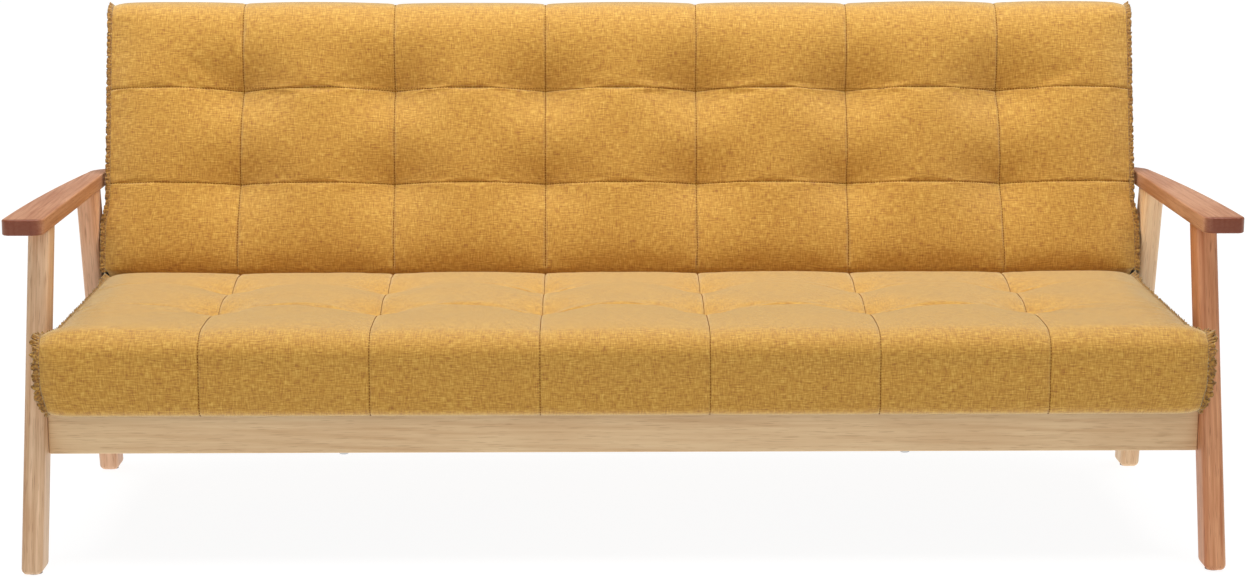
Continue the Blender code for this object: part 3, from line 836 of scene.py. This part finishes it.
def inflate(piece, cushion):
    """Blows the cover up against its tufts as cloth, with every move under the cushion's cap."""
    count = len(piece.data.vertices)
    _, normals, lay = read_points(piece.data)
    tie = cushion.tuft_distance(lay[:, 0], lay[:, 1])
    pins = np.zeros(count)
    piece.data.attributes["held"].data.foreach_get("value", pins)
    group = piece.vertex_groups.new(name="sewn")
    group.add(np.nonzero(pins > 0.5)[0].tolist(), 1.0, "REPLACE")
    start, end = np.zeros(count * 3), np.zeros(count * 3)
    piece.data.vertices.foreach_get("co", start)
    cloth = piece.modifiers.new("cloth", "CLOTH")
    for key, value in CLOTH.items():
        setattr(cloth.settings, key, value)
    cloth.settings.effector_weights.gravity = 0
    cloth.collision_settings.use_collision = False
    for step in range(1, CLOTH_STEPS + 1):
        scene.frame_set(step)
    evaluated = piece.evaluated_get(bpy.context.evaluated_depsgraph_get())
    evaluated.data.vertices.foreach_get("co", end)
    move = (end - start).reshape(-1, 3)
    size = np.linalg.norm(move, axis=1, keepdims=True)
    keep = cushion.cap * (1 - bump_at(tie, 0, 0.060))
    keep *= 1 - 0.6 * smooth(lay[:, 1], cushion.s_edge - 0.03, cushion.s_face)
    keep = keep[:, None] + 1e-6
    move *= keep * np.tanh(size / keep) / np.maximum(size, 1e-9)
    outward = normals * np.sum(move * normals, axis=1, keepdims=True)
    move = outward + (move - outward) * SIDEWAYS_SHARE
    piece.modifiers.clear()
    piece.vertex_groups.clear()
    scene.frame_set(1)
    piece.data.vertices.foreach_set("co", start + move.ravel())
    piece.data.update()


def subdivide(piece):
    """One level of smoothing, made part of the mesh."""
    modifier = piece.modifiers.new("smooth", "SUBSURF")
    modifier.levels = modifier.render_levels = 1
    mesh = bpy.data.meshes.new_from_object(piece.evaluated_get(bpy.context.evaluated_depsgraph_get()))
    piece.modifiers.clear()
    old, piece.data = piece.data, mesh
    bpy.data.meshes.remove(old)


GROOVE_DEPTH = 0.0012


def sink_seams(cushion, piece):
    """Each stitched line bites in: a soft fold each side and a narrow groove between."""
    points, normals, lay = read_points(piece.data)
    x, s = lay[:, 0], lay[:, 1]
    upright = np.min(np.abs(x[:, None] - np.array(SEAMS_X)), axis=1)
    level = np.min(np.abs(s[:, None] - np.array(cushion.s_rows)), axis=1)
    sunk = np.zeros(len(x))
    between = 1 - cell_share(x, cushion.edges_x) ** 2
    for far, share in ((upright, 1.0), (level, 1 - cushion.row_fade * between)):
        groove = GROOVE_DEPTH * bump_at(far, 0, 0.0015) + GROOVE_DEPTH * np.exp(-(far / 0.005))
        sunk = np.maximum(sunk, groove * share)
    sunk *= cushion.sewn_through(s) * (x < END_LAY_SHIFT / 2)
    sunk *= 1 - 0.4 * smooth(s, cushion.s_edge - 0.03, cushion.s_edge)
    points -= normals * sunk[:, None]
    piece.data.vertices.foreach_set("co", points.ravel())
    piece.data.update()


def cloth_material(name, light, middle, dark):
    """Linen-look cloth: slubby yarns of three tones crossing each way, with a soft nap."""
    paint = Paint(name, Sheen_Weight=0.8, Sheen_Roughness=0.55, Specular_IOR_Level=0.25)
    paint.shader.inputs["Sheen Tint"].default_value = (1.0, 0.98, 0.72, 1.0)
    lay = paint.add("Attribute", {"attribute_name": "lay"}, {}, 1)
    weft = paint.noise(lay, (80, 820, 1), 2.0, 0.6)
    warp = paint.noise(lay, (820, 80, 1), 2.0, 0.6)
    weft_slub = paint.noise(lay, (80, 440, 1), 1.0, 0.5)
    warp_slub = paint.noise(lay, (440, 84, 1), 1.0, 0.5)
    cloud = paint.noise(lay, (14, 14, 1), 2.0, 0.5)
    x = paint.add("SeparateXYZ", {}, {0: lay}, 0)
    s = paint.add("SeparateXYZ", {}, {0: lay}, 1)
    pick = 2 * math.pi / 0.0012
    over = (x * pick).sine() * (s * pick).sine()
    tone = weft * 0.42 + warp * 0.36 + weft_slub * 0.38 + warp_slub * 0.30 + cloud * 0.05
    tone = (tone - 0.755) * 2.3 + 0.5 + over * 0.07
    shade = paint.add("ValToRGB", {"stops": [(0.05, dark), (0.48, middle), (0.92, light)]}, {0: tone})
    # The ruched seam is painted darker, with light and dark flecks, as painted shade in its folds; z of
    # the cloth's own place is 1 there
    fold_shade = paint.add("SeparateXYZ", {}, {0: lay}, 2)
    fold_shadow_fleck = paint.noise(lay, (260, 420, 1), 2.0, 0.6).step(0.40, 0.60)
    shade = paint.mix(fold_shade * (0.22 + fold_shadow_fleck * 0.66), shade, FOLD_SHADOW_BROWN)
    height = over * 0.4 + weft + warp + weft_slub * 0.5 + warp_slub * 0.5
    paint.bump(height, 0.0004, 0.5)
    return paint.finish(shade, weft * 0.2 + 0.62)


# Painted shadow colour for the folds of the ruched seam
FOLD_SHADOW_BROWN = colour(98, 54, 8)
mustard_cloth = cloth_material(
    "mustard_cloth", colour(215, 171, 76), colour(188, 134, 38), colour(150, 88, 13)
)


def seat_spare(u, v):
    """The seat is fuller in front of the legs, and drawn in again at its foot."""
    return 0.018 * smooth(u, 0.430, 0.470) * (1 - 0.55 * smooth(-v, 0.045, 0.100))


def back_spare(u, v):
    """The backrest's front is fuller below the arms, where it covers its hinge plates."""
    return 0.0065 * (1 - smooth(u, 0.10, 0.15)) * smooth(v, 0.023, 0.029)


seat = Cushion(
    name="seat",
    body="frame",
    place=seat_place,
    reach=0.4990,
    below=0.0990,
    drop=0.007,
    far_round=0.034,
    low_round=0.016,
    rows=(0.1426, 0.2986),
    half_end=0.840,
    spare_length=seat_spare,
    crown=0.0040,
    crown_end="foot",
    squareness=3.6,
    row_share=0.05,
    row_fade=1.0,
    bows=(0.0, 0.002),
    drift=0.0,
    tuft_depths=(0.015, 0.020),
    tuft_reach=(0.042, 0.032),
    wrinkle=0.0009,
    end_round=0.005,
    cap=0.0035,
)
back = Cushion(
    name="back",
    body="backrest",
    place=back_place,
    reach=0.4780,
    below=0.0872,
    drop=0.0,
    far_round=0.030,
    low_round=0.024,
    rows=(0.1736, 0.3296),
    half_end=0.8435,
    spare_length=back_spare,
    crown=0.0055,
    crown_end="face",
    squareness=2.8,
    row_share=0.25,
    row_fade=0.2,
    bows=(0.001, 0.003),
    drift=0.010,
    tuft_depths=(0.024, 0.029),
    tuft_reach=(0.054, 0.037),
    wrinkle=0.0003,
    end_round=0.004,
    cap=0.007,
)

for cushion in (seat, back):
    piece = add_piece(f"{cushion.name}_upholstery", sew_cover(cushion), mustard_cloth, None, 180)
    inflate(piece, cushion)
    subdivide(piece)
    sink_seams(cushion, piece)
    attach(piece, cushion.body)
    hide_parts(f"{cushion.name}_cover", f"{cushion.name}_foam")
    cushion.piece = piece


# ---------------------------------------------------------------- stitching
# Every quilted line is a row of lockstitches in thick brown thread, lying in its groove. Each
# stitch is a few millimetres of thread that dives into the cloth at both ends.
STITCH_PITCH = 0.0046
STITCH_SIZE = (0.0036, 0.0014, 0.0012)
STITCH_RAISED = 0.0006
STITCH_BATCH = 40


def thread_material():
    paint = Paint("brown_thread", Specular_IOR_Level=0.1)
    place = paint.add("TexCoord", {}, {}, 3)
    ply = paint.noise(place, (2500, 2500, 2500), 1.0)
    shade = paint.mix(ply.step(0.35, 0.65), colour(92, 50, 6), colour(134, 80, 16))
    return paint.finish(shade, ply * 0.2 + 0.7)


def seam_lines(cushion):
    """Each quilted line as ordered places and normals, read off the finished cover."""
    points, normals, lay = read_points(cushion.piece.data)
    x, s = lay[:, 0], lay[:, 1]
    face = (s > cushion.s_crease + 0.004) & (s < cushion.s_under) & (x < END_LAY_SHIFT / 2)
    lines = []
    for seam in SEAMS_X:
        picked = np.nonzero(face & (np.abs(x - seam) < 1e-4))[0]
        lines.append(picked[np.argsort(s[picked])])
    buried = np.zeros(len(x))
    for row in cushion.s_rows:
        picked = np.nonzero(face & (np.abs(s - row) < 1e-4))[0]
        between = 1 - cell_share(x[picked], cushion.edges_x) ** 2
        buried[picked] = cushion.row_fade * (STITCH_RAISED + 0.0016 * between)
        lines.append(picked[np.argsort(x[picked])])
    points = points - normals * buried[:, None]
    return [(points[line], normals[line]) for line in lines]


def join(shape, batch):
    """Moves a small batch of stitches into the whole row, which stays quick to add to."""
    mesh = bpy.data.meshes.new("batch")
    batch.to_mesh(mesh)
    shape.from_mesh(mesh)
    bpy.data.meshes.remove(mesh)
    batch.clear()


def sew_line(shape, points, normals):
    gaps = np.linalg.norm(np.diff(points, axis=0), axis=1)
    marks = np.concatenate([[0], np.cumsum(gaps)])
    batch = bmesh.new()
    for count, mark in enumerate(np.arange(STITCH_PITCH / 2, marks[-1], STITCH_PITCH)):
        spots = [
            Vector([float(np.interp(mark + d, marks, points[:, k])) for k in range(3)])
            for d in (-0.0015, 0, 0.0015)
        ]
        up = Vector([float(np.interp(mark, marks, normals[:, k])) for k in range(3)]).normalized()
        along = (spots[2] - spots[0]).normalized()
        beside = up.cross(along).normalized()
        turn = Matrix((along, beside, along.cross(beside))).transposed().to_4x4()
        lift = Matrix.Translation(spots[1] + up * STITCH_RAISED)
        place = lift @ turn @ Matrix.Diagonal((*STITCH_SIZE, 1))
        bmesh.ops.create_uvsphere(batch, u_segments=5, v_segments=4, radius=0.5, matrix=place)
        if count % STITCH_BATCH == STITCH_BATCH - 1:
            join(shape, batch)
    join(shape, batch)
    batch.free()


brown_thread = thread_material()
for cushion in (seat, back):
    shape = bmesh.new()
    for points, normals in seam_lines(cushion):
        sew_line(shape, points, normals)
    stitches = add_piece(f"{cushion.name}_stitches", shape, brown_thread, cushion.body)


# ---------------------------------------------------------------- ruched edges
# The end panels are joined to the long panel by a raw seam that stays outside: two layers of
# cloth, overlocked and drawn up by the thread, so that the edge ruffles all the way round.
RUFFLE_PITCH = 0.0060
RUFFLE_STEP = 0.0009
RUFFLE_ROWS = 6
RUFFLE_THICK = 0.0013


def wandering(marks, scale, seed):
    """A smooth irregular curve between -1 and 1."""
    turns = np.array([1.0, 1.73, 2.61, 4.07])
    shifts = np.array([0.3, 1.9, 4.1, 2.6]) * (1 + seed)
    waves = np.sin(2 * np.pi * marks[:, None] * turns / scale + shifts)
    return waves @ np.array([0.4, 0.3, 0.2, 0.1])


def ruffle(cushion, sign, width, widest, seed):
    """A strip of doubled cloth along one end of a cushion, waving more towards its raw edge."""
    marks = np.arange(cushion.s_crease - 0.004, cushion.s_under + 0.012, RUFFLE_STEP)
    shape = bmesh.new()
    bmesh.ops.create_grid(shape, x_segments=len(marks) - 1, y_segments=RUFFLE_ROWS, size=0.5)
    lay = shape.verts.layers.float_vector.new("lay")
    grid = np.array([v.co for v in shape.verts])
    index = np.rint((grid[:, 0] + 0.5) * (len(marks) - 1)).astype(int)
    out = grid[:, 1] + 0.5
    spread = width(marks) * (0.92 + 0.30 * wandering(marks, 0.016, seed))
    phase = 2 * np.pi * marks / RUFFLE_PITCH + 3.4 * wandering(marks, 0.05, seed)
    wave = 0.0021 * (1 + 0.6 * wandering(marks, 0.03, seed + 1))
    swing = np.sin(phase[index] + 1.4 * out) * wave[index] * out**1.2
    skew = np.cos(phase[index] * 0.5 + 1.0) * 0.0016 * out
    s = marks[index] + skew
    base = cushion.at(s) - cushion.normal(s) * cushion.end_round * 0.9
    lift = out * spread[index] * 0.45 + swing + 0.0005
    uv = base + cushion.normal(s) * lift[:, None]
    x = cushion.widen(cushion.half_end - 0.0015, *base.T) + out * spread[index] * 0.85
    points = cushion.place(sign * np.minimum(x, widest(*base.T)), uv[:, 0], uv[:, 1])
    for vert, point, mark, share in zip(shape.verts, points, s, out):
        vert.co = point
        # z of 1 brings in the cloth's painted shade for the folds
        vert[lay] = (share * 0.012 + 5 * sign, mark, 1)
    faces = shape.faces[:]
    bmesh.ops.solidify(shape, geom=faces, thickness=RUFFLE_THICK)
    bmesh.ops.recalc_face_normals(shape, faces=shape.faces)
    return shape


def seat_width(marks):
    front = smooth(marks, seat.s_edge - 0.01, seat.s_edge + 0.02)
    front *= 1 - smooth(marks, seat.s_foot - 0.01, seat.s_foot + 0.02)
    hinge = 1 - smooth(marks, seat.s_crease + 0.04, seat.s_crease + 0.09)
    return 0.004 + 0.0085 * front + 0.006 * hinge + 0.003 * bump_at(marks, seat.s_edge + 0.02, 0.012)


def back_width(marks):
    low = 1 - smooth(marks, back.s_crease + 0.05, back.s_crease + 0.11)
    return 0.0095 + 0.006 * low + 0.005 * bump_at(marks, back.s_edge + 0.012, 0.010)


def seat_widest(u, v):
    """In front of the legs; between them only over the hinge plates is there room."""
    over_hinge = (1 - smooth(u, 0.07, 0.11)) * smooth(v, 0.022, 0.025)
    return 0.8460 + 0.027 * smooth(u, 0.440, 0.475) + 0.0095 * over_hinge


def back_widest(u, v):
    """Inside the arms, and wider below them in front of the hinge plates."""
    return 0.8494 + 0.0068 * (1 - smooth(u, 0.10, 0.15)) * smooth(v, 0.020, 0.025)


for cushion, width, widest in ((seat, seat_width, seat_widest), (back, back_width, back_widest)):
    for index, (side, sign) in enumerate((("left", -1), ("right", 1))):
        shape = ruffle(cushion, sign, width, widest, 0.37 * index + 0.2)
        strip = add_piece(f"{cushion.name}_ruched_edge_{side}", shape, mustard_cloth, cushion.body, 180)


# ---------------------------------------------------------------- closing cloths
# The seat is closed underneath by black spun cloth, and the backrest behind by a panel of its own
# cover cloth. Each is folded under at its edges, pulled flat and stapled into the inner frame.
STAPLE_PITCH = 0.045
HEM = 0.012
CLOTH_OVERLAP = 0.004
STAPLE_LONG, STAPLE_WIDE, STAPLE_HIGH = 0.011, 0.0011, 0.0009


def spun_material():
    """Black spun-bonded cloth: random fibres pressed flat, with rows of small bond dots."""
    paint = Paint("black_spun_cloth", Specular_IOR_Level=0.3)
    lay = paint.add("Attribute", {"attribute_name": "lay"}, {}, 1)
    fibre = paint.noise(lay, (420, 420, 1), 3.0, 0.7, 1.5)
    cloud = paint.noise(lay, (30, 30, 1), 3.0)
    x = paint.add("SeparateXYZ", {}, {0: lay}, 0)
    s = paint.add("SeparateXYZ", {}, {0: lay}, 1)
    turn = 2 * math.pi / 0.0035
    dots = ((x * turn).sine() * (s * turn).sine()).step(0.2, 0.7)
    tone = fibre * 0.7 + cloud * 0.3 - dots * 0.25
    shade = paint.mix(tone.step(0.2, 0.75), colour(26, 26, 27), colour(58, 57, 56))
    paint.bump(fibre - dots * 0.7, 0.0002, 0.5)
    return paint.finish(shade, fibre * 0.2 + 0.7)


def closing_cloth(name, node, cushion, span, tilt, thickness, material):
    """A flat cloth on the open side of a cushion, with a folded hem and a pull at each staple."""
    level = cushion.below
    half_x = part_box(node)[1].x + CLOTH_OVERLAP
    shape = bmesh.new()
    bmesh.ops.create_grid(shape, x_segments=222, y_segments=60, size=0.5)
    lay = shape.verts.layers.float_vector.new("lay")
    grid = np.array([v.co for v in shape.verts])
    x = grid[:, 0] * 2 * half_x
    u = span[0] + (grid[:, 1] + 0.5) * (span[1] - span[0])
    inside_x, inside_u = half_x - np.abs(x), np.minimum(u - span[0], span[1] - u)
    inside = np.minimum(inside_x, inside_u)
    along = np.where(inside_x < inside_u, u, x)
    hem = 1 - smooth(inside, HEM - 0.002, HEM + 0.001)
    pull = np.cos(2 * np.pi * along / STAPLE_PITCH) * np.exp(-(inside / 0.02) ** 2)
    out = 0.0004 * hem + 0.00025 * pull * (inside > 0.002) + 0.0003 * np.exp(-inside / 0.05)
    points = cushion.place(x, u, -(level + out))
    for vert, point, a, b in zip(shape.verts, points, x, u):
        vert.co = point
        vert[lay] = (a, b, 0)
    bmesh.ops.recalc_face_normals(shape, faces=shape.faces)
    bmesh.ops.solidify(shape, geom=shape.faces[:], thickness=thickness)
    bmesh.ops.recalc_face_normals(shape, faces=shape.faces)
    cloth = add_piece(name, shape, material, cushion.body, 60)
    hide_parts(node)
    staples = bmesh.new()
    inset = HEM * 0.5
    for share_u, share_x, length in staple_places(half_x - inset, span[0] + inset, span[1] - inset):
        place = cushion.place(share_x, share_u, -(level + 0.0011))
        size = (STAPLE_LONG, STAPLE_WIDE) if length == "x" else (STAPLE_WIDE, STAPLE_LONG)
        turn = Matrix.Rotation(tilt, 4, "X")
        centre = Matrix.Translation(Vector(place.tolist()))
        scale = Matrix.Diagonal((*size, STAPLE_HIGH, 1))
        bmesh.ops.create_cube(staples, size=1.0, matrix=centre @ turn @ scale)
    row = add_piece(f"{name}_staples", staples, zinc, cushion.body)


def staple_places(half_x, low_u, high_u):
    count_x, count_u = int(2 * half_x / STAPLE_PITCH), int((high_u - low_u) / STAPLE_PITCH)
    for i in range(count_x + 1):
        x = -half_x + 2 * half_x * i / count_x
        yield low_u, x, "x"
        yield high_u, x, "x"
    for i in range(1, count_u):
        u = low_u + (high_u - low_u) * i / count_u
        yield u, -half_x, "u"
        yield u, half_x, "u"


closing_cloth(
    name="seat_closing_cloth",
    node="seat_dust_cloth",
    cushion=seat,
    span=(0.026, 0.470),
    tilt=0.0,
    thickness=0.0006,
    material=spun_material(),
)
closing_cloth(
    name="back_closing_panel",
    node="back_rear_panel",
    cushion=back,
    span=(0.026, 0.445),
    tilt=math.pi / 2 - LEAN,
    thickness=0.0008,
    material=mustard_cloth,
)

# ---------------------------------------------------------------- sizes
# The box of the finished one, beside the box of the plain model taken at the start.
low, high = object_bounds()
